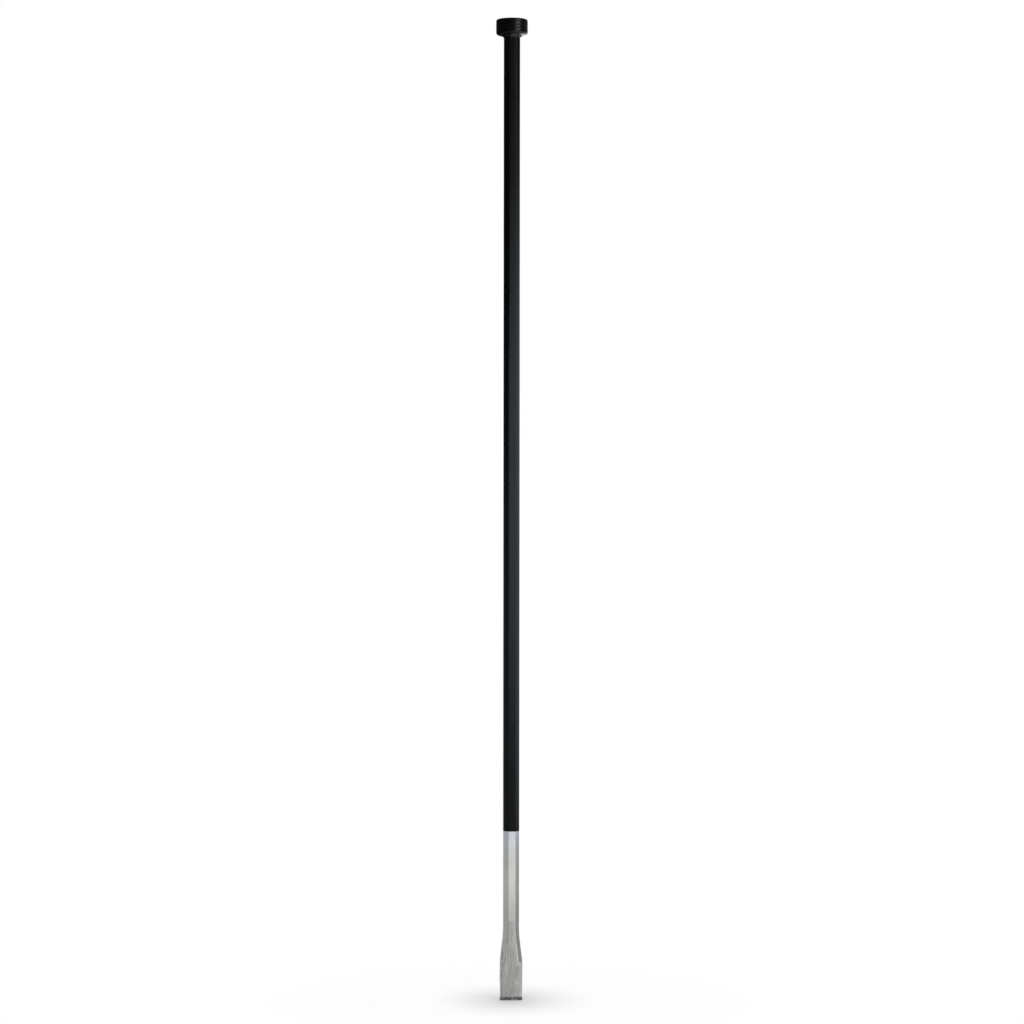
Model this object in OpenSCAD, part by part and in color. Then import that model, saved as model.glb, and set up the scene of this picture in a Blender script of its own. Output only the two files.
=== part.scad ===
// Digging bar: an octagonal steel bar with a forged chisel end, a round tamper head
// welded on top, and a black coat that stops short of the chisel.
// Millimetres. +Z runs up the bar, the origin is the middle of the cutting edge,
// and the broad faces of the blade look along -Y and +Y.

/* [Bar] */
// Length overall, from the cutting edge to the tamping face
overall_length = 1750; // [1200:10:1900]
// Bar size across its flats
across_flats = 27.5; // [25:0.5:30]
// Width of each main flat, which leaves the rest to the corner flats
flat_width = 12.6; // [10:0.2:14]
// Radius on the rolled corners of the bar
corner_radius = 1; // [0.6:0.2:3]

/* [Chisel end] */
// Width of the blade at its shoulders
blade_width = 40; // [34:1:60]
// Width of the blade at its cutting edge
edge_width = 40; // [30:1:60]
// Thickness of the blade at the top of its bevel
blade_thickness = 8.4; // [6:0.2:14]
// Thickness left at the cutting edge
edge_thickness = 1.2; // [0.6:0.1:2.4]
// Height of the ground bevel above the cutting edge
bevel_height = 6; // [3:0.5:12]
// Length of the blade below its shoulders
blade_length = 72; // [60:1:100]
// Length over which the sides spread from the bar to the blade
flare_length = 62; // [40:1:90]
// How far above the flare the broad faces begin to taper
taper_lead = 8; // [4:1:20]
// Hollow of the forged faces: 1 is flat, more is more dished
face_hollow = 1.5; // [1:0.1:2]
// Radius that forging leaves on the long corners of the taper
forged_radius = 4; // [1:0.5:5]
// Share of the flare spent bending into its slope
flare_bend = 0.4; // [0.2:0.05:0.8]
// Width of each narrow side where the corner flats end
side_land = 3; // [2:0.5:5]
// How far below the flare the corner flats run on
facet_overrun = 2; // [1:0.5:8]
// Height of the step that ends each corner flat
facet_step = 7; // [3:0.5:10]
// Chamfer on the long edges of the blade
edge_break = 1.5; // [0.8:0.1:2]

/* [Tamper head] */
// Diameter of the head
head_diameter = 56; // [54:1:80]
// Height of the head
head_height = 27; // [20:1:50]
// Radius around the rim of the tamping face
top_rim_radius = 2.4; // [0.5:0.1:4]
// Radius around the lower rim
lower_rim_radius = 4.5; // [1:0.5:6]
// Steel left between the socket and the tamping face
crown_thickness = 10; // [6:1:14]

/* [Spigot and weld] */
// Diameter of the round spigot turned on the top of the bar
spigot_diameter = 22; // [16:0.5:24]
// Leg of the fillet weld between the bar's flats and the head
weld_leg = 5; // [2:0.2:6]

/* [Coat] */
// Thickness of the black coat
coat_thickness = 0.25; // [0.1:0.05:0.5]
// Length of bare steel left at the chisel end
bare_length = 302; // [240:1:600]

/* [Hidden] */
$fn = 96;

// Facets on each rounded corner, on each rim, and rings along the forged faces
corner_steps = 4;
rim_steps = 6;
blade_rings = 8;
flare_rings = 20;
// Longest share of an edge that one rounded corner may take
corner_share = 0.45;
// Cutters run this far past what they cut
cut_past = 1;

half_bar = across_flats / 2;
half_flat = flat_width / 2;

flare_top = blade_length + flare_length;
taper_top = flare_top + taper_lead;
facet_end = blade_length - facet_overrun;
step_bottom = facet_end - facet_step;

head_top = overall_length - coat_thickness;
head_bottom = head_top - head_height;
socket_top = head_top - crown_thickness;
head_radius = head_diameter / 2;

spigot_radius = spigot_diameter / 2;

function mix(a, b, share) = a + (b - a) * share;
function unit(v) = v / norm(v);

// Points of an arc in the profile plane
function arc(centre, radius, from, to, steps) =
    [for (i = [0 : steps]) let (a = mix(from, to, i / steps)) centre + radius * [cos(a), sin(a)]];

// The corner at b of a counter-clockwise outline, rounded between its neighbours a and c
function round_corner(a, b, c, radius) =
    let (
        u = unit(a - b),
        v = unit(c - b),
        half_angle = acos(u * v) / 2,
        room = corner_share * min(norm(a - b), norm(c - b)),
        reach = min(radius / tan(half_angle), room),
        r = reach * tan(half_angle),
        centre = b + unit(u + v) * r / sin(half_angle),
        first = b + u * reach - centre,
        from = atan2(first.y, first.x)
    )
    arc(centre, r, from, from + 180 - 2 * half_angle, corner_steps);

// Eight-sided outline, half_w by half_t, whose corners are cut by cut.x of the width and
// cut.y of the thickness, and rounded
function eight_sided(half_w, half_t, cut, radius) =
    let (
        side = half_t - cut.y,
        front = half_w - cut.x,
        points = [
            [half_w, -side], [half_w, side], [front, half_t], [-front, half_t],
            [-half_w, side], [-half_w, -side], [-front, -half_t], [front, -half_t]
        ],
        n = len(points)
    )
    [for (i = [0 : n - 1]) each
        round_corner(points[(i + n - 1) % n], points[i], points[(i + 1) % n], radius)];

// Share of the flare reached at height z: it bends in, then runs straight to the shoulders
function flare_share(z) =
    let (u = min(max((flare_top - z) / flare_length, 0), 1))
    (u < flare_bend ? u * u / (2 * flare_bend) : u - flare_bend / 2) / (1 - flare_bend / 2);

function half_width(z) =
    z < blade_length
        ? mix(edge_width, blade_width, z / blade_length) / 2
        : mix(half_bar, blade_width / 2, flare_share(z));

// The broad faces: a flat bevel at the edge, then a hollow taper up to the bar
function half_thickness(z) =
    z < bevel_height
        ? mix(edge_thickness, blade_thickness, z / bevel_height) / 2
        : mix(blade_thickness / 2, half_bar,
            pow((z - bevel_height) / (taper_top - bevel_height), face_hollow));

// The corner flats of the bar run down the flare, end in a short step,
// and leave a small chamfer on the blade
function facet_cut(z) =
    [half_bar - half_flat, half_thickness(z) - mix(half_flat, side_land / 2, flare_share(z))];
function blade_cut(z) = min(edge_break, half_thickness(z) / 2) * [1, 1];
function cut_at(z) =
    mix(blade_cut(z), facet_cut(z), min(max((z - step_bottom) / facet_step, 0), 1));

// The corners soften between the top of the taper and the flare
function section_radius(z) =
    mix(corner_radius, forged_radius, min(max((taper_top - z) / taper_lead, 0), 1));

function forged_section(z) =
    eight_sided(half_width(z), half_thickness(z), cut_at(z), section_radius(z));

// Rings of points joined into one closed skin
module loft(heights) {
    rings = [for (z = heights) [for (p = forged_section(z)) [p.x, p.y, z]]];
    n = len(rings[0]);
    last = len(rings) - 1;
    sides = [for (i = [0 : last - 1], j = [0 : n - 1])
        let (k = (j + 1) % n, low = i * n, high = low + n)
        each [[low + j, high + j, high + k], [low + j, high + k, low + k]]];
    floor_face = [for (j = [0 : n - 1]) j];
    top_face = [for (j = [n - 1 : -1 : 0]) last * n + j];
    polyhedron([for (ring = rings) each ring], concat(sides, [floor_face, top_face]));
}

module forged_end() {
    blade = [for (i = [0 : blade_rings]) mix(bevel_height, step_bottom, i / blade_rings)];
    flare = [for (i = [0 : flare_rings]) mix(facet_end, taper_top, i / flare_rings)];
    loft(concat([0], blade, flare));
}

// Octagonal bar between two heights, grown outwards by a skin
module octagon_length(start, top, skin) {
    half = half_bar + skin;
    edge = half - half_flat - skin * tan(22.5);
    translate([0, 0, start])
        linear_extrude(top - start)
            polygon(eight_sided(half, half, [edge, edge], corner_radius + skin));
}

// Outer half-outline of the head, from its axis at the bottom to its axis at the top
function head_outline(skin) = concat(
    arc([head_radius - lower_rim_radius, head_bottom + lower_rim_radius],
        lower_rim_radius + skin, -90, 0, rim_steps),
    arc([head_radius - top_rim_radius, head_top - top_rim_radius],
        top_rim_radius + skin, 0, 90, rim_steps),
    [[0, head_top + skin]]
);

module head_body(skin) {
    rotate_extrude()
        polygon(concat([[0, head_bottom - skin]], head_outline(skin)));
}

// Cone that carries the sloping face of the weld, solid to the axis and rooted in the bar
module weld_body(skin) {
    reach = weld_leg + skin * sqrt(2);
    root = head_bottom - reach - cut_past;
    rotate_extrude()
        polygon([
            [0, head_bottom], [half_bar + reach, head_bottom],
            [half_bar - cut_past, root], [0, root]
        ]);
}

// Everything the coat covers, grown outwards by a skin
module coated_form(start, skin) {
    octagon_length(start, head_bottom, skin);
    weld_body(skin);
    head_body(skin);
}

module forged_bar() {
    color("silver") {
        forged_end();
        octagon_length(taper_top, head_bottom, 0);
        translate([0, 0, head_bottom])
            cylinder(r = spigot_radius, h = socket_top - head_bottom);
    }
}

module tamper_head() {
    color([0.13, 0.13, 0.14])
        rotate_extrude()
            polygon(concat(
                [[spigot_radius, socket_top], [spigot_radius, head_bottom]],
                head_outline(0),
                [[0, socket_top]]
            ));
}

module head_weld() {
    color([0.2, 0.2, 0.21])
        difference() {
            weld_body(0);
            octagon_length(head_bottom - weld_leg - 2 * cut_past, head_bottom + cut_past, 0);
        }
}

module powder_coat() {
    color([0.09, 0.09, 0.1])
        difference() {
            coated_form(bare_length, coat_thickness);
            coated_form(bare_length - cut_past, 0);
        }
}

forged_bar();
tamper_head();
head_weld();
powder_coat();
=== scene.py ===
import math
import bmesh
import bpy
from mathutils import Matrix, Vector, noise


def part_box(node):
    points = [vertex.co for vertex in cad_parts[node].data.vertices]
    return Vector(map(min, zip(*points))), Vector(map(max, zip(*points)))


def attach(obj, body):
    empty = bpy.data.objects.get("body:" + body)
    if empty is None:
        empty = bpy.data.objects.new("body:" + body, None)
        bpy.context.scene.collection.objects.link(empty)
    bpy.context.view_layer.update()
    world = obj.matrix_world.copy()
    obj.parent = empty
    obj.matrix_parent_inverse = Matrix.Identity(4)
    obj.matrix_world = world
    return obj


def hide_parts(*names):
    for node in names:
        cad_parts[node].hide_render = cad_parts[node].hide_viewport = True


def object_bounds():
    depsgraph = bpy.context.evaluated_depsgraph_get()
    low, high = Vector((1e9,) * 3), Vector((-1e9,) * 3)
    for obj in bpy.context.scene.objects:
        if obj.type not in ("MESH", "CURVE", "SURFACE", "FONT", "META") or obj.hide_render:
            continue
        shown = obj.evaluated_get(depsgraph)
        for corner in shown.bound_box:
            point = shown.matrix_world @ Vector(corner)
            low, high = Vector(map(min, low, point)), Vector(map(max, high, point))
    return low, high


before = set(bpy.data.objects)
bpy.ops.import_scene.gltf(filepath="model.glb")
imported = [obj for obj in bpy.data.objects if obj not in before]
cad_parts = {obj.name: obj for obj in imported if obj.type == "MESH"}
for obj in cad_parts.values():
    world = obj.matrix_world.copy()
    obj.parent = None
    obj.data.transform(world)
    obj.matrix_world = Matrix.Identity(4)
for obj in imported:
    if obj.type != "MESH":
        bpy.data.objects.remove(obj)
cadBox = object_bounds()
mm = 0.001

# sizes that the frame already holds
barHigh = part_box("forged_bar")[1]
headLow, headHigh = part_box("tamper_head")
weldLow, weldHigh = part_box("head_weld")
coatLow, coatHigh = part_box("powder_coat")
halfBar = barHigh.y                        # half the bar across its flats
film = coatHigh.z - headHigh.z             # thickness of the coat
paintLine = coatLow.z
weldLeg = weldHigh.z - weldLow.z
print("frame loaded,", len(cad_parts), "nodes,", round(cadBox[1].z, 3), "m tall")


# camera: level, at the middle of the photo, turned a little to the left of the blade's face
photo = {
    "pixels": 1024,
    "topRow": 19.84,        # rim of the head
    "edgeRow": 999.98,      # cutting edge
    "axisColumn": 511.45,   # the bar at the middle row
    "lean": 0.065,          # degrees that the bar leans in the picture
}
lensSet = {"lens": 106.8, "sensor": 36.0, "azimuth": -6.5}


def addCamera():
    metresPerPixel = cadBox[1].z / (photo["edgeRow"] - photo["topRow"])
    middle = photo["pixels"] / 2
    distance = lensSet["lens"] / lensSet["sensor"] * photo["pixels"] * metresPerPixel
    height = (photo["edgeRow"] - middle) * metresPerPixel
    turn = math.radians(lensSet["azimuth"])
    back = Vector((math.sin(turn), -math.cos(turn), 0))
    across = Vector((math.cos(turn), math.sin(turn), 0))
    data = bpy.data.cameras.new("camera")
    data.lens = lensSet["lens"]
    data.sensor_width = lensSet["sensor"]
    camera = bpy.data.objects.new("camera", data)
    bpy.context.scene.collection.objects.link(camera)
    camera.location = back * distance + across * ((middle - photo["axisColumn"]) * metresPerPixel)
    camera.location.z = height
    camera.rotation_euler = (math.radians(90), math.radians(-photo["lean"]), turn)
    bpy.context.scene.camera = camera
    return back, across


viewBack, viewAcross = addCamera()
print("camera set")


# shader maths: a wire is a socket that takes part in Python expressions
class Wire:
    def __init__(self, finish, socket):
        self.finish = finish
        self.socket = socket

    def join(self, operation, first, second=0.0):
        return self.finish.add("Math", {"operation": operation}, {0: first, 1: second})

    def __add__(self, other):
        return self.join("ADD", self, other)

    def __radd__(self, other):
        return self.join("ADD", other, self)

    def __sub__(self, other):
        return self.join("SUBTRACT", self, other)

    def __rsub__(self, other):
        return self.join("SUBTRACT", other, self)

    def __mul__(self, other):
        return self.join("MULTIPLY", self, other)

    def __rmul__(self, other):
        return self.join("MULTIPLY", other, self)

    def __abs__(self):
        return self.join("ABSOLUTE", self)

    def sign(self):
        return self.join("SIGN", self)

    def cosine(self):
        return self.join("COSINE", self)

    def orMore(self, other):
        return self.join("MAXIMUM", self, other)


class Finish:
    def __init__(self, name, tree=None):
        if tree is None:
            self.material = bpy.data.materials.new(name)
            self.material.use_nodes = True
            tree = self.material.node_tree
        self.tree = tree
        tree.nodes.clear()

    def add(self, kind, settings=None, sockets=None, out=0):
        node = self.tree.nodes.new("ShaderNode" + kind)
        for key, value in (settings or {}).items():
            setattr(node, key, value)
        for key, value in (sockets or {}).items():
            if isinstance(value, Wire):
                self.tree.links.new(value.socket, node.inputs[key])
            else:
                node.inputs[key].default_value = value
        return Wire(self, node.outputs[out]) if len(node.outputs) else node

    def coords(self):
        return self.add("TexCoord", out="Object")

    def axis(self, coords, name):
        return self.add("SeparateXYZ", {}, {0: coords}, name)

    def stretch(self, coords, scale):
        return self.add("Mapping", {}, {"Vector": coords, "Scale": scale})

    def grain(self, coords, scale, detail, rough=0.5):
        sockets = {"Vector": coords, "Scale": scale, "Detail": detail, "Roughness": rough}
        return self.add("TexNoise", {}, sockets, "Fac")

    def grains(self, coords, table):
        made = {}
        for name, (size, scale, detail) in table.items():
            made[name] = self.grain(self.stretch(coords, size), scale, detail)
        return made

    def ramp(self, value, low, high, first=0.0, last=1.0):
        sockets = {0: value, 1: low, 2: high, 3: first, 4: last}
        return self.add("MapRange", {"interpolation_type": "SMOOTHSTEP", "clamp": True}, sockets)

    def blend(self, share, first, second):
        return self.add("Mix", {"data_type": "RGBA"}, {0: share, 6: first, 7: second}, 2)

    def bump(self, height, depth):
        return self.add("Bump", {}, {"Height": height, "Distance": depth, "Strength": 1.0})

    def surface(self, sockets):
        self.output(self.add("BsdfPrincipled", {}, sockets))

    def output(self, shader):
        self.add("OutputMaterial", {}, {"Surface": shader})


# a bare ring of points is extruded from station to station
def extrudeRing(bm, ring):
    edges = [bm.edges.get((v, ring[i - 1])) for i, v in enumerate(ring)]
    made = bmesh.ops.extrude_edge_only(bm, edges=edges)["geom"]
    fresh = {item for item in made if isinstance(item, bmesh.types.BMVert)}
    return [next(e.other_vert(v) for e in v.link_edges if e.other_vert(v) in fresh) for v in ring]


def placeRing(ring, points):
    for vert, point in zip(ring, points):
        vert.co = point


def closeRing(bm, ring):
    edges = [bm.edges.get((v, ring[i - 1])) for i, v in enumerate(ring)]
    bmesh.ops.edgeloop_fill(bm, edges=edges)


def loftRings(stations):
    bm = bmesh.new()
    first = bmesh.ops.create_circle(bm, segments=len(stations[0]), radius=1)["verts"]
    placeRing(first, stations[0])
    ring = first
    for points in stations[1:]:
        ring = extrudeRing(bm, ring)
        placeRing(ring, points)
    closeRing(bm, first)
    closeRing(bm, ring)
    bmesh.ops.recalc_face_normals(bm, faces=bm.faces)
    return bm


def dent(bm, depthAt):
    bm.normal_update()
    moves = [(v, v.normal * depthAt(v.co)) for v in bm.verts]
    for vert, move in moves:
        vert.co += move


def makePiece(name, bm, finish, node, sharp):
    mesh = bpy.data.meshes.new(name)
    bm.to_mesh(mesh)
    bm.free()
    mesh.shade_smooth()
    mesh.set_sharp_from_angle(angle=math.radians(sharp))
    mesh.materials.append(finish.material)
    piece = bpy.data.objects.new(name, mesh)
    bpy.context.scene.collection.objects.link(piece)
    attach(piece, "root")
    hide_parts(node)
    print(name, "has", len(mesh.polygons), "faces")


# outline of a bar section: eight sides, each corner an arc, each side split for detail
# a cut is how much of the width and of the thickness a corner flat takes
# a bulge is how far the middle of each side stands out
cornerShare = 0.45     # the most of a side that one rounded corner takes


def eightCorners(halfWidth, halfThick, rightCut, leftCut):
    right = [(halfWidth, halfThick - rightCut.y), (halfWidth - rightCut.x, halfThick)]
    left = [(leftCut.x - halfWidth, halfThick), (-halfWidth, halfThick - leftCut.y)]
    upper = right + left
    return [Vector(p) for p in upper + [(x, -y) for x, y in reversed(upper)]]


def softOutline(corners, radius, arcSteps, flatSteps, bulge=0):
    arcs = []
    for i, corner in enumerate(corners):
        before = corners[i - 1] - corner
        after = corners[(i + 1) % len(corners)] - corner
        half = before.angle(after) / 2
        room = cornerShare * min(before.length, after.length)
        reach = min(radius / math.tan(half), room)
        inner = (before.normalized() + after.normalized()).normalized()
        centre = corner + inner * (reach / math.cos(half))
        spoke = corner + before.normalized() * reach - centre
        sweep = math.pi - 2 * half
        turns = [Matrix.Rotation(sweep * k / arcSteps, 2) for k in range(arcSteps + 1)]
        arcs.append([centre + turn @ spoke for turn in turns])
    ring = []
    for arc, following in zip(arcs, arcs[1:] + arcs[:1]):
        ring += arc
        along = following[0] - arc[-1]
        outward = Vector((along.y, -along.x)).normalized() * bulge
        for share in (k / flatSteps for k in range(1, flatSteps)):
            ring.append(arc[-1] + along * share + outward * (4 * share * (1 - share)))
    return ring


def octagon(skin, radius, arcSteps, flatSteps, bulge=0):
    half = halfBar + skin
    cut = Vector((1, 1)) * (half - halfFlat - skin * math.tan(math.pi / 8))
    return softOutline(eightCorners(half, half, cut, cut), radius, arcSteps, flatSteps, bulge)


def roundRing(outline, radius, z):
    return [Vector((*(p.normalized() * radius), z)) for p in outline]


def mixed(a, b, share):
    return a + (b - a) * share


def eased(low, high, value):
    u = min(max((value - low) / (high - low), 0), 1)
    return u * u * (3 - 2 * u)


def waves(point, counts):
    return noise.noise(Vector([place * count for place, count in zip(point, counts)]))


def steps(low, high, spacing):
    count = max(1, round((high - low) / spacing))
    return [mixed(low, high, k / count) for k in range(count)]


# the bar: forged chisel end, octagonal length and turned spigot
bar = {
    "flatWidth": 12.6 * mm,     # each main flat of the octagon
    "cornerRadius": 1 * mm,
    "forgedRadius": 4 * mm,     # the same corners on the forged end
    "edgeHalf": 20 * mm,        # half the cutting edge
    "edgeThickness": 1.2 * mm,
    "bladeThickness": 8.4 * mm,
    "bevel": 6 * mm,
    "bladeLength": 72 * mm,
    "flareLength": 62 * mm,
    "flareBend": 0.4,
    "taperLead": 8 * mm,
    "hollow": 1.5,
    "sideLand": 3 * mm,
    "facetOverrun": 2 * mm,
    "facetStep": 7 * mm,        # how the corner flats end on the right
    "facetRunOut": 22 * mm,     # and on the left
    "edgeBreak": 1.5 * mm,
    "spigotRadius": 11 * mm,
    "arcSteps": 5,
    "flatSteps": 44,
    "crease": 0.4 * mm,         # rings on each side of a crease
    "stepGap": 0.8 * mm,        # spacing of the rings at the steps, on the rest of the forging,
    "forgedGap": 1.4 * mm,
    "bareGap": 8 * mm,          # on the bare bar and under the coat
    "coatedGap": 120 * mm,
    "crown": 0.9 * mm,          # how far the broad faces fall away at their sides
    "crownPower": 4,
    "crownRise": 15 * mm,       # height over which the crown grows
    "hammered": 0.24 * mm,      # unevenness left by the forge
    "hammerWaves": 60,          # per metre
    "fineHammer": 0.4,          # share of finer unevenness
    "fineWaves": 150,
    "ground": 0.09 * mm,        # flutes left by the belt
    "groundWaves": (420, 60, 24),
    "forgeFade": 14 * mm,       # how both fade out at the crease and at the cutting edge
    "edgeFade": 6 * mm,
    "sharp": 35,
}
# hammer flats and nicks on the broad faces: side, place across, height, half sizes and depth in mm
marks = [
    (-1, -16.2, 80, 1.5, 8, 0.55),
    (-1, 1.6, 31, 1.6, 6, 0.3),
    (-1, 8.5, 30, 4.5, 4.5, 0.3),
    (-1, -6.5, 58, 4, 9, 0.22),
    (-1, 7.5, 54, 5, 8, 0.26),
    (-1, -9.5, 24, 4, 10, 0.2),
    (-1, -17.6, 22, 2.2, 17, 0.16),
    (1, -8.0, 62, 5, 10, 0.26),
    (1, 5.0, 40, 4, 8, 0.24),
    (1, -3.0, 22, 3, 6, 0.2),
    (1, 15.8, 78, 1.5, 7, 0.5),
]
halfFlat = bar["flatWidth"] / 2
flareTop = bar["bladeLength"] + bar["flareLength"]
taperTop = flareTop + bar["taperLead"]
facetEnd = bar["bladeLength"] - bar["facetOverrun"]
stepBottom = facetEnd - bar["facetStep"]


def flareShare(z):
    u = min(max((flareTop - z) / bar["flareLength"], 0), 1)
    bend = bar["flareBend"]
    run = u * u / (2 * bend) if u < bend else u - bend / 2
    return run / (1 - bend / 2)


def halfWidthAt(z):
    if z < bar["bladeLength"]:
        return mixed(bar["edgeHalf"], barHigh.x, z / bar["bladeLength"])
    return mixed(halfBar, barHigh.x, flareShare(z))


def halfThickAt(z):
    if z < bar["bevel"]:
        return mixed(bar["edgeThickness"], bar["bladeThickness"], z / bar["bevel"]) / 2
    rise = min((z - bar["bevel"]) / (taperTop - bar["bevel"]), 1)
    return mixed(bar["bladeThickness"] / 2, halfBar, rise ** bar["hollow"])


def cutAt(z, runOut):
    thick = halfThickAt(z)
    land = mixed(halfFlat, bar["sideLand"] / 2, flareShare(z))
    facet = Vector((halfBar - halfFlat, thick - land))
    blade = Vector((1, 1)) * min(bar["edgeBreak"], thick / 2)
    return blade.lerp(facet, eased(facetEnd - runOut, facetEnd, z))


def forgedSection(z):
    rightCut = cutAt(z, bar["facetStep"])
    leftCut = cutAt(z, bar["facetRunOut"])
    corners = eightCorners(halfWidthAt(z), halfThickAt(z), rightCut, leftCut)
    radius = mixed(bar["cornerRadius"], bar["forgedRadius"], eased(taperTop, flareTop, z))
    outline = softOutline(corners, radius, bar["arcSteps"], bar["flatSteps"])
    settle = eased(0, bar["crownRise"], z) * eased(taperTop, bar["bladeLength"], z)
    thinner = bar["crown"] * settle / halfThickAt(z)
    half = halfWidthAt(z)
    falls = [thinner * (p.x / half) ** bar["crownPower"] for p in outline]
    return [Vector((p.x, p.y * (1 - fall), z)) for p, fall in zip(outline, falls)]


def markAt(point, mark):
    side, across, height, halfAcross, halfAlong, deep = mark
    if point.y * side < 0:
        return 0
    away = ((point.x / mm - across) / halfAcross) ** 2 + ((point.z / mm - height) / halfAlong) ** 2
    return deep * mm * math.exp(-away ** 2)


def forgeMarks(point):
    if point.z > taperTop:
        return 0
    hammered = noise.noise(point * bar["hammerWaves"])
    hammered += bar["fineHammer"] * noise.noise(point * bar["fineWaves"])
    ground = waves(point, bar["groundWaves"])
    settle = eased(taperTop, taperTop - bar["forgeFade"], point.z)
    settle *= eased(0, bar["edgeFade"], point.z)
    struck = sum(markAt(point, mark) for mark in marks)
    return settle * (bar["hammered"] * hammered + bar["ground"] * ground - struck)


def buildBar(finish):
    near = bar["crease"]
    bevel = bar["bevel"]
    heights = steps(0, bevel - near, bar["stepGap"]) + [bevel - near, bevel]
    heights += steps(bevel + near, stepBottom, bar["forgedGap"])
    heights += steps(stepBottom, facetEnd, bar["stepGap"])
    heights += steps(facetEnd, taperTop - near, bar["forgedGap"]) + [taperTop - near, taperTop]
    heights += steps(taperTop + near, paintLine, bar["bareGap"])
    heights += steps(paintLine, headLow.z, bar["coatedGap"]) + [headLow.z]
    stations = [forgedSection(z) for z in heights]
    shaft = octagon(0, bar["cornerRadius"], bar["arcSteps"], bar["flatSteps"])
    stations += [roundRing(shaft, bar["spigotRadius"], z) for z in (headLow.z, barHigh.z)]
    bm = loftRings(stations)
    dent(bm, forgeMarks)
    makePiece("forgedBar", bm, finish, "forged_bar", bar["sharp"])


# the coat: one closed film over the shaft, the weld and the head
coat = {
    "arcSteps": 6,
    "flatSteps": 18,
    "cornerRadius": 3 * mm,      # the coat rounds the corners of the bar
    "lowerRim": 4.5 * mm,
    "topRim": 2.4 * mm,
    "rimSteps": 7,
    "lip": 0.35 * mm,            # height of the sloping paint edge
    "lineWander": 0.45 * mm,     # how far the paint line strays
    "wanderWaves": 160,
    "wanderPlace": (3, 7, 1),
    "turning": 0.06 * mm,        # depth of the grooves that turning left on the head
    "turningPitch": 6 * mm,
    "turningStart": 0.43,        # share of a groove at the head's underside
    "rolled": 0.05 * mm,         # waviness of the rolled flats
    "rolledWaves": (60, 60, 9),
    "plainEnd": 2 * mm,          # flats without it at the paint line and at the weld
    "bulge": 0.1 * mm,           # how far the coat swells on each flat
    "flatGap": 9 * mm,           # spacing of the rings on the flats and on the weld
    "weldGap": 0.25 * mm,
    "collarRings": 6,            # from the weld to the lower rim
    "sideRings": 36,
    "topRings": 12,
    "pole": 1 * mm,              # radius of the last ring on the tamping face
    "innerRim": 3,               # steps of a rim inside the film
    "innerWeld": 7,              # rings of the weld inside the film, 1 mm apart
    "sharp": 50,
}
weldBead = {
    "ripples": 31,
    "ripple": 0.2 * mm,
    "crown": 0.3 * mm,
    "bow": 2.2,                  # how far each ripple trails, in radians
    "drift": 0.35,               # unevenness of the bead
    "driftWaves": 110,
    "driftSlice": 2,
    "driftBow": 3,
    "toe": 0.7 * mm,
    "spread": 0.45 * mm,         # how far below the head the coat starts to flow out
}
weldToe = headLow.z - weldLeg


def arcPoints(centre, radius, fromDeg, toDeg, count):
    angles = [math.radians(mixed(fromDeg, toDeg, k / count)) for k in range(count + 1)]
    return [(centre[0] + radius * math.cos(a), centre[1] + radius * math.sin(a)) for a in angles]


def split(first, last, count):
    shares = [k / count for k in range(1, count)]
    return [(mixed(first[0], last[0], s), mixed(first[1], last[1], s)) for s in shares]


def headProfile(skin, fine):
    lower = (headHigh.x - coat["lowerRim"], headLow.z + coat["lowerRim"])
    upper = (headHigh.x - coat["topRim"], headHigh.z - coat["topRim"])
    rimCount = coat["rimSteps"] if fine else coat["innerRim"]
    lowerArc = arcPoints(lower, coat["lowerRim"] + skin, -90, 0, rimCount)
    upperArc = arcPoints(upper, coat["topRim"] + skin, 0, 90, rimCount)
    centre = (coat["pole"], headHigh.z + skin)
    side = split(lowerArc[-1], upperArc[0], coat["sideRings"]) if fine else []
    top = split(upperArc[-1], centre, coat["topRings"]) if fine else []
    return lowerArc + side + upperArc + top + [centre]


def softMax(a, b, reach):
    near = max(reach - abs(a - b), 0)
    return max(a, b) + near * near / (4 * reach)


def beadSwell(point, share):
    crown = math.sin(math.pi * min(max(share, 0), 1))
    place = Vector((point.x, point.y, weldBead["driftSlice"]))
    drift = weldBead["drift"] * noise.noise(place * weldBead["driftWaves"])
    phase = weldBead["ripples"] * math.atan2(point.y, point.x)
    phase += weldBead["bow"] * crown + weldBead["driftBow"] * drift
    return crown * (weldBead["crown"] * (1 + drift) + weldBead["ripple"] * math.sin(phase))


# the shaft's outline, or the weld's cone where that stands further out
def coatRing(outline, z, skin, rippled=True):
    cone = halfBar + weldLeg + skin * math.sqrt(2) - (headLow.z - z)
    share = (z - weldToe + skin) / weldLeg
    ring = []
    for p in outline:
        bead = cone + (beadSwell(p, share) * math.sqrt(2) if rippled else 0)
        ring.append(Vector((*(p.normalized() * softMax(p.length, bead, weldBead["toe"])), z)))
    return ring


def turnedRadius(radius, z, skin):
    if not math.isclose(radius, headHigh.x + skin, abs_tol=0.001 * mm):
        return radius
    share = ((z - headLow.z) / coat["turningPitch"] + coat["turningStart"]) % 1
    return radius - coat["turning"] * (2 * share - 1) ** 2


def rolledFlats(point):
    if point.z > weldToe - coat["plainEnd"] or point.z < paintLine + coat["plainEnd"]:
        return 0
    return coat["rolled"] * waves(point, coat["rolledWaves"])


def lineStray(point):
    place = Vector((point.x, point.y, 0)) * coat["wanderWaves"] + Vector(coat["wanderPlace"])
    return coat["lineWander"] * noise.noise(place)


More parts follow.
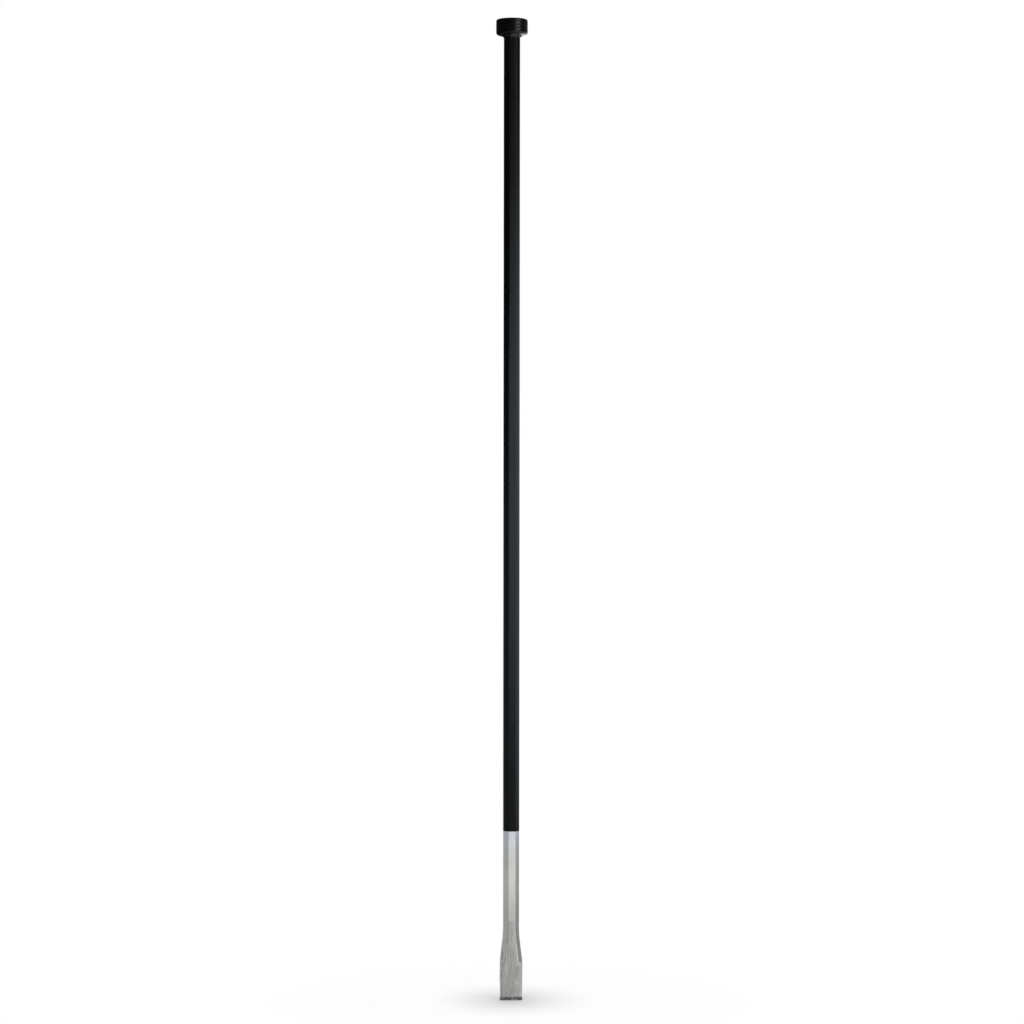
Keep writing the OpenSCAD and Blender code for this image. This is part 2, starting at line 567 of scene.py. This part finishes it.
def buildCoat(finish):
    inner = octagon(0, bar["cornerRadius"], coat["arcSteps"], coat["flatSteps"])
    outer = octagon(film, coat["cornerRadius"], coat["arcSteps"], coat["flatSteps"], coat["bulge"])
    stations = [roundRing(inner, r, z) for r, z in reversed(headProfile(0, False))]
    innerHeights = [headLow.z - down * mm for down in range(coat["innerWeld"])]
    stations += [coatRing(inner, z, 0, False) for z in innerHeights]
    stray = [lineStray(p) for p in outer]
    stations.append([Vector((p.x, p.y, paintLine + s)) for p, s in zip(inner, stray)])
    stations.append([Vector((p.x, p.y, paintLine + coat["lip"] + s)) for p, s in zip(outer, stray)])
    weldTop = headLow.z - film - weldBead["spread"]
    flatTop = weldToe - coat["plainEnd"]
    heights = steps(paintLine + coat["plainEnd"], flatTop, coat["flatGap"])
    heights += steps(flatTop, weldTop, coat["weldGap"]) + [weldTop]
    stations += [coatRing(outer, z, film) for z in heights]
    weldEdge = (halfBar + weldLeg + film * (math.sqrt(2) - 1) - weldBead["spread"], weldTop)
    head = headProfile(film, True)
    head = split(weldEdge, head[0], coat["collarRings"]) + head
    stations += [roundRing(outer, turnedRadius(r, z, film), z) for r, z in head]
    bm = loftRings(stations)
    dent(bm, rolledFlats)
    makePiece("powderCoat", bm, finish, "powder_coat", coat["sharp"])


# bare steel: bright drawn flats, dull forged faces below the crease, dark bevel
steel = {
    "bright": (0.725, 0.735, 0.765, 1),
    "satin": (0.645, 0.632, 0.606, 1),
    "warm": (0.53, 0.528, 0.51, 1),
    "forged": (0.49, 0.492, 0.475, 1),
    "dull": (0.375, 0.378, 0.36, 1),
    "bevel": (0.165, 0.167, 0.165, 1),
    "bevelWorn": (0.5, 0.502, 0.495, 1),
    # worn edges, and painted highlight: the light patches laid where dents and corner flats would
    # catch more light
    "wornAndHighlight": (0.66, 0.66, 0.65, 1),
    # painted shade: the dark colour of the patches laid in the crease, in the dents and along the
    # blade's left edge
    "scale": (0.2, 0.2, 0.195, 1),
    "satinFrom": 292 * mm,          # heights below which the flats turn less blue
    "satinFull": 248 * mm,
    "warmFrom": 215 * mm,           # and duller
    "streaked": 0.16,               # strength of the streaks on the flats
    "streakRange": (0.4, 0.75),
    "darkFrom": 80 * mm,            # heights below which the forging turns darker
    "darkFull": 30 * mm,
    "darker": 0.1,
    "paleFrom": 85 * mm,            # and above which it turns paler
    "paleFull": 105 * mm,
    "paler": 0.06,
    "toneRange": (0.36, 0.62),
    "wornRange": (0.46, 0.68),
    "sideBlur": 0.6 * mm,           # how softly the forged finish ends at the sides,
    "aboveCrease": 0.3 * mm,        # and at the crease
    "belowCrease": 0.7 * mm,
    "bevelFrom": 1.2 * mm,          # heights above the bevel where its finish begins and is full
    "bevelFull": 0.3 * mm,
    "bevelWander": 1.2 * mm,
    "edgeWear": 0.4,
    "edgeBand": (17.4 * mm, 19.4 * mm),     # from the middle, where the wear begins and is full
    "patchCore": 0.1,               # where a patch is full, with 1 at its rim
    "patchRagged": 2.5,
    "patchStreaks": (0.3, 0.7, 0.5, 1.5),   # range of the streaks, and their least and most effect
    "rough": 0.24,
    "forgedRough": 0.3,
    "streakRough": 0.2,
    "fineRough": 0.12,
    "relief": 0.03 * mm,
    "streakRelief": 0.6,            # shares of the relief
    "fineRelief": 0.3,
    "broadRelief": 1.5,
    "pitRelief": 0.5,
    "pitRange": (0.66, 0.78),
}
# grains: stretch, waves per metre and detail
steelGrains = {
    "fine": ((1, 1, 0.02), 2600, 3),
    "streak": ((1, 1, 0.035), 520, 4),
    "broadStreak": ((1, 0.3, 0.13), 190, 3),
    "hammered": ((1, 1, 0.45), 75, 2),
    "mottle": ((1, 1, 0.6), 330, 4),
    "pits": ((1, 1, 1), 900, 2),
}
grainMean = 0.5
# patches on both broad faces: place across, height and half sizes in mm, and share; the first list
# paints highlights and reflections, the second paints shade
paintedHighlightPatches = [(-18, 54, 4.5, 17, 0.65), (10.3, 31.5, 4.2, 5.5, 0.28)]
paintedShadePatches = [
    (-16.6, 22, 2.4, 24, 0.3),
    (-15.5, 82, 1.9, 9, 0.55),
    (2.5, 30, 2.4, 9, 0.25),
    (5, 12, 11, 15, 0.12),
    (-6.4, 110, 1.4, 34, 0.25),
]


def patchMask(f, x, z, ragged, patches):
    total = 0.0
    for *place, share in patches:
        across, height, halfAcross, halfAlong = (size * mm for size in place)
        aside = (x - across) * (1 / halfAcross)
        along = (z - height) * (1 / halfAlong)
        away = aside * aside + along * along + ragged
        total = f.ramp(away, 1, steel["patchCore"]) * share + total
    return total


def steelFinish():
    f = Finish("bareSteel")
    coords = f.coords()
    x, y, z = (f.axis(coords, name) for name in "XYZ")
    across = abs(x)
    grains = f.grains(coords, steelGrains)
    fine = grains["fine"]
    streak = grains["streak"]
    broadStreak = grains["broadStreak"]
    mottle = grains["mottle"]

    # the forged finish lies on the broad faces and all over the blade
    spread = (barHigh.x - halfBar) / (taperTop - facetEnd)
    outside = across - ((taperTop - z) * spread + halfFlat)
    broad = f.ramp(outside, steel["sideBlur"], -steel["sideBlur"])
    blade = f.ramp(z, facetEnd, stepBottom)
    below = f.ramp(z, taperTop + steel["aboveCrease"], taperTop - steel["belowCrease"])
    forged = below * broad.orMore(blade)

    satin = f.ramp(z, steel["satinFrom"], steel["satinFull"])
    drawn = f.blend(satin, steel["bright"], steel["satin"])
    drawn = f.blend(f.ramp(z, steel["warmFrom"], taperTop), drawn, steel["warm"])
    streaked = f.ramp(streak, *steel["streakRange"]) * steel["streaked"]
    drawn = f.blend(streaked, drawn, steel["forged"])
    tone = grains["hammered"] * 0.5 + broadStreak * 0.5
    tone = tone - f.ramp(z, steel["darkFrom"], steel["darkFull"]) * steel["darker"]
    tone = tone + f.ramp(z, steel["paleFrom"], steel["paleFull"]) * steel["paler"]
    struck = f.blend(f.ramp(tone, *steel["toneRange"]), steel["dull"], steel["forged"])
    base = f.blend(forged, drawn, struck)

    # worn edges, and painted highlight and shade patches, the same on both broad faces when the bar
    # is turned round
    faceX = x * y.sign() * -1
    edge = f.ramp(across, *steel["edgeBand"]) * steel["edgeWear"]
    grained = f.ramp(streak, *steel["patchStreaks"])
    ragged = (mottle - grainMean) * steel["patchRagged"]
    # worn blade edges, and painted highlight patches
    wornAndHighlight = edge.orMore(patchMask(f, faceX, z, ragged, paintedHighlightPatches)) * grained
    # painted shade in the crease, in the dents and along the blade's left edge
    paintedShade = patchMask(f, faceX, z, ragged, paintedShadePatches) * grained
    base = f.blend(wornAndHighlight, base, steel["wornAndHighlight"])
    base = f.blend(paintedShade, base, steel["scale"])

    worn = f.blend(f.ramp(mottle, *steel["wornRange"]), steel["bevel"], steel["bevelWorn"])
    bevelFrom = bar["bevel"] + steel["bevelFrom"]
    bevelFull = bar["bevel"] + steel["bevelFull"]
    base = f.blend(f.ramp(z + mottle * steel["bevelWander"], bevelFrom, bevelFull), base, worn)

    rough = steel["rough"] + forged * (steel["forgedRough"] - steel["rough"])
    rough = rough + (streak - grainMean) * steel["streakRough"]
    rough = rough + (fine - grainMean) * steel["fineRough"]
    height = streak * steel["streakRelief"] + fine * steel["fineRelief"]
    height = height - f.ramp(grains["pits"], *steel["pitRange"]) * forged * steel["pitRelief"]
    height = height + broadStreak * forged * steel["broadRelief"]
    f.surface({
        "Base Color": base,
        "Metallic": 1.0,
        "Roughness": rough,
        "Normal": f.bump(height, steel["relief"]),
    })
    return f


# black coat: satin, with an orange peel that is only seen close up, and a smoother head
black = {
    "colour": (0.0012, 0.0012, 0.0014, 1),
    "dust": (0.0024, 0.0024, 0.0027, 1),
    "dustRange": (0.4, 0.7),
    "weld": (0.048, 0.046, 0.046, 1),    # painted highlight on parts of the bead
    "highlightAt": 1.5 * mm,                  # its place across, half width, and half of the full part
    "highlightHalf": 7 * mm,
    "highlightFull": 3.5 * mm,
    "highlightRange": (0.3, 0.6),
    "aboveToe": 1.5 * mm,                # how softly it ends at the weld's foot and at the head
    "aboveWeld": 0.2 * mm,
    "belowHead": 0.4 * mm,
    "rough": 0.3,
    "headRough": 0.27,
    "bandRough": 0.13,                   # swing between the grooves of the head
    "cloudRough": 0.12,
    "textureRough": 0.1,
    "relief": 0.05 * mm,
    "peelRelief": 0.7,
    "textureRelief": 0.3,
    "specular": 0.15,
}
coatGrains = {
    "peel": ((1, 1, 1), 620, 2),
    "texture": ((1, 1, 1), 3200, 2),
    "cloud": ((1, 1, 0.2), 45, 4),
}


def coatFinish():
    f = Finish("blackCoat")
    coords = f.coords()
    z = f.axis(coords, "Z")
    grains = f.grains(coords, coatGrains)
    peel = grains["peel"]
    texture = grains["texture"]
    cloud = grains["cloud"]
    base = f.blend(f.ramp(cloud, *black["dustRange"]), black["colour"], black["dust"])

    onWeld = f.ramp(z, weldToe, weldToe + black["aboveToe"])
    onWeld = onWeld * f.ramp(z, headLow.z + black["aboveWeld"], headLow.z - black["belowHead"])
    # painted highlight: the lighter colour laid in patches on the front and back of the bead
    aside = abs(f.axis(coords, "X") - black["highlightAt"])
    weldHighlight = f.ramp(aside, black["highlightHalf"], black["highlightFull"]) * f.ramp(peel, *black["highlightRange"])
    base = f.blend(onWeld * weldHighlight, base, black["weld"])

    onHead = f.ramp(z, weldToe, headLow.z)
    turnStart = math.tau * (coat["turningStart"] - 0.5)
    turn = (z - headLow.z) * (math.tau / coat["turningPitch"]) + turnStart
    bands = turn.cosine() * -black["bandRough"]
    rough = black["rough"] + onHead * (black["headRough"] - black["rough"] + bands)
    rough = rough + (cloud - grainMean) * black["cloudRough"]
    rough = rough + (texture - grainMean) * black["textureRough"]
    height = peel * black["peelRelief"] + texture * black["textureRelief"]
    f.surface({
        "Base Color": base,
        "Roughness": rough,
        "Specular IOR Level": black["specular"],
        "Normal": f.bump(height, black["relief"]),
    })
    return f


# hidden steel under the coat
under = {
    "forgedHead": (0.30, 0.30, 0.31, 1),
    "bead": (0.36, 0.35, 0.34, 1),
    "oxide": (0.17, 0.165, 0.165, 1),
    "oxideRange": (0.42, 0.66),
    "headWaves": 260,
    "beadWaves": 420,
    "detail": 5,
    "fineness": 0.6,
    "rough": 0.42,
    "crustRough": 0.25,
    "relief": 0.06 * mm,
}


def underFinish(name, colour, scale):
    f = Finish(name)
    crust = f.grain(f.coords(), scale, under["detail"], under["fineness"])
    base = f.blend(f.ramp(crust, *under["oxideRange"]), colour, under["oxide"])
    f.surface({
        "Base Color": base,
        "Metallic": 1.0,
        "Roughness": under["rough"] + crust * under["crustRough"],
        "Normal": f.bump(crust, under["relief"]),
    })
    return f


def finishNode(node, finish):
    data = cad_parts[node].data
    data.materials.clear()
    data.materials.append(finish.material)


buildBar(steelFinish())
buildCoat(coatFinish())
finishNode("tamper_head", underFinish("headSteel", under["forgedHead"], under["headWaves"]))
finishNode("head_weld", underFinish("weldSteel", under["bead"], under["beadWaves"]))
print("pieces made")


# studio: white world, pale floor that fades out, overhead lamp for the round shadow
studio = {
    "world": 0.74,              # world light on matt surfaces
    "floorColour": (0.9, 0.9, 0.9, 1),
    "floorHalf": 3.0,
    "floorCells": 8,
    "fadeFrom": 0.22,
    "fadeTo": 0.5,
    "lampHeight": 2.66,
    "lampSize": (0.072, 0.115),  # across and along the view
    "lampPower": 25.6,
}


def addWorld():
    world = bpy.data.worlds.new("studioWorld")
    world.use_nodes = True
    bpy.context.scene.world = world
    f = Finish("studioWorld", world.node_tree)
    path = f.add("LightPath", out="Is Camera Ray")
    glossy = Wire(f, path.socket.node.outputs["Is Glossy Ray"])
    through = Wire(f, path.socket.node.outputs["Is Transmission Ray"])
    seen = path.orMore(glossy).orMore(through)
    strength = studio["world"] + seen * (1 - studio["world"])
    background = f.add("Background", {}, {"Color": (1, 1, 1, 1), "Strength": strength})
    f.add("OutputWorld", {}, {"Surface": background})


def addFloor():
    bm = bmesh.new()
    cells = studio["floorCells"]
    bmesh.ops.create_grid(bm, x_segments=cells, y_segments=cells, size=studio["floorHalf"])
    mesh = bpy.data.meshes.new("floor")
    bm.to_mesh(mesh)
    bm.free()
    f = Finish("floorPaint")
    coords = f.coords()
    away = f.add("VectorMath", {"operation": "LENGTH"}, {0: coords}, "Value")
    paint = f.add("BsdfDiffuse", {}, {"Color": studio["floorColour"]})
    white = f.add("Emission", {}, {"Color": (1, 1, 1, 1), "Strength": 1.0})
    fade = f.ramp(away, studio["fadeFrom"], studio["fadeTo"])
    f.output(f.add("MixShader", {}, {0: fade, 1: paint, 2: white}))
    mesh.materials.append(f.material)
    floor = bpy.data.objects.new("floor", mesh)
    bpy.context.scene.collection.objects.link(floor)


def addLamp():
    data = bpy.data.lights.new("overhead", "AREA")
    data.shape = "ELLIPSE"
    data.size, data.size_y = studio["lampSize"]
    data.energy = studio["lampPower"]
    lamp = bpy.data.objects.new("overhead", data)
    lamp.location.z = studio["lampHeight"]
    lamp.rotation_euler.z = math.radians(lensSet["azimuth"])
    lamp.visible_glossy = False
    bpy.context.scene.collection.objects.link(lamp)


# cards round the bar that only reflections see: each is a strip of floor and of a drum,
# from one azimuth of the view to another, with its brightness given at a few heights
rightGlow = [
    (0.0, 0.8), (0.17, 0.95), (0.55, 1.7), (1.2, 2.2), (1.45, 1.2), (1.65, 0.5),
    (1.85, 0.15), (3.0, 0.15),
]
cards = {
    "leftFlag": {
        "from": -180, "to": -50,
        "glow": [(0.0, 0.56), (0.16, 0.54), (0.3, 0.36), (0.75, 0.36), (0.95, 0.08), (3.0, 0.06)],
    },
    "nearLeft": {
        "from": -140, "to": -45, "radius": 0.3, "cool": 0.4,
        "glow": [(0.0, 0.66), (0.04, 0.64), (0.08, 0.54), (0.16, 0.55), (0.28, 0.46)],
    },
    "headFlag": {
        "from": -175, "to": 3, "radius": 0.3, "bottom": 1.2,
        "glow": [(1.2, 0.05), (1.76, 0.02)],
    },
    "leftGap": {
        "from": -50, "to": -15,
        "glow": [
            (0.0, 0.5), (0.12, 0.5), (0.25, 0.35), (0.36, 0.35), (0.52, 0.8), (0.68, 1.2),
            (1.05, 1.1), (1.35, 0.9), (1.6, 0.2), (1.85, 0.04), (3.0, 0.04),
        ],
    },
    "frontGap": {
        "from": -15, "to": 3,
        "glow": [
            (0.0, 0.3), (0.12, 0.4), (0.25, 0.2), (0.36, 0.2), (0.52, 1.3), (0.68, 2.3),
            (1.05, 2.15), (1.35, 1.8), (1.6, 0.25), (1.85, 0.05), (3.0, 0.04),
        ],
    },
    "frontCard": {
        "from": 3, "to": 27,
        "glow": [
            (0.0, 0.74), (0.04, 0.99), (0.15, 1.6), (0.2, 0.08), (0.36, 0.08), (0.52, 1.9),
            (0.68, 3.3), (1.05, 3.0), (1.35, 2.6), (1.6, 0.35), (1.85, 0.1), (3.0, 0.1),
        ],
    },
    "softbox": {
        "from": 27, "to": 62, "cool": 0,
        "glow": [
            (0.0, 1.5), (0.3, 1.0), (0.42, 1.4), (0.65, 3.3), (1.2, 3.3), (1.45, 2.2), (1.6, 1.0),
            (1.8, 1.0), (1.9, 7), (1.985, 7), (2.07, 0.2), (3.0, 0.2),
        ],
    },
    "nearRight": {
        "from": 55, "to": 140, "radius": 0.3, "cool": 0.4,
        "glow": [(0.0, 0.38), (0.12, 0.42), (0.22, 0.43), (0.285, 0.3)],
    },
    "rightCard": {
        "from": 62, "to": 115,
        "glow": rightGlow,
    },
    "farRight": {
        "from": 115, "to": 140, "cool": 0,
        "glow": rightGlow,
    },
    "rearLight": {
        "from": 140, "to": 180, "cool": 0,
        "glow": [(0.0, 1.0), (1.15, 1.0), (1.35, 2.2), (1.65, 2.2), (1.9, 0.4), (3.0, 0.4)],
    },
}
drum = {
    "radius": 1.3,              # of all cards but the near ones
    "floorFrom": 0.15,
    "lift": 1 * mm,
    "steps": 24,
    "cool": (0.16, 0.34, 1.4, 1.62),   # heights where the light turns cool, and neutral again
    "coolRed": -0.2,
    "coolBlue": 0.1,
}


def addCard(name, card):
    start = math.radians(card["from"])
    spread = math.radians(card["to"] - card["from"])
    outward = viewBack * math.cos(start) + viewAcross * math.sin(start)
    radius = card.get("radius", drum["radius"])
    places = [(radius, card.get("bottom", drum["lift"])), (radius, card["glow"][-1][0])]
    if "bottom" not in card:
        places.insert(0, (drum["floorFrom"], drum["lift"]))
    bm = bmesh.new()
    verts = [bm.verts.new(outward * away + Vector((0, 0, z))) for away, z in places]
    edges = [bm.edges.new(pair) for pair in zip(verts, verts[1:])]
    bmesh.ops.spin(
        bm, geom=verts + edges, cent=(0, 0, 0), axis=(0, 0, 1), angle=spread, steps=drum["steps"],
    )
    mesh = bpy.data.meshes.new(name)
    bm.to_mesh(mesh)
    bm.free()
    f = Finish(name)
    z = f.axis(f.coords(), "Z")
    light = card["glow"][0][1]
    for (below, dim), (above, lit) in zip(card["glow"], card["glow"][1:]):
        light = f.ramp(z, below, above, 0.0, lit - dim) + light
    coolFrom, coolFull, coolLast, coolTo = drum["cool"]
    cool = light * f.ramp(z, coolFrom, coolFull) * f.ramp(z, coolTo, coolLast) * card.get("cool", 1)
    red = light + cool * drum["coolRed"]
    blue = light + cool * drum["coolBlue"]
    colour = f.add("CombineColor", {}, {0: red, 1: light, 2: blue})
    f.output(f.add("Emission", {}, {"Color": colour, "Strength": 1.0}))
    mesh.materials.append(f.material)
    panel = bpy.data.objects.new(name, mesh)
    panel.visible_camera = False
    panel.visible_diffuse = False
    panel.visible_shadow = False
    bpy.context.scene.collection.objects.link(panel)


addWorld()
addFloor()
addLamp()
for cardName, card in cards.items():
    addCard(cardName, card)
bpy.context.scene.view_settings.view_transform = "Standard"
print("studio lit")
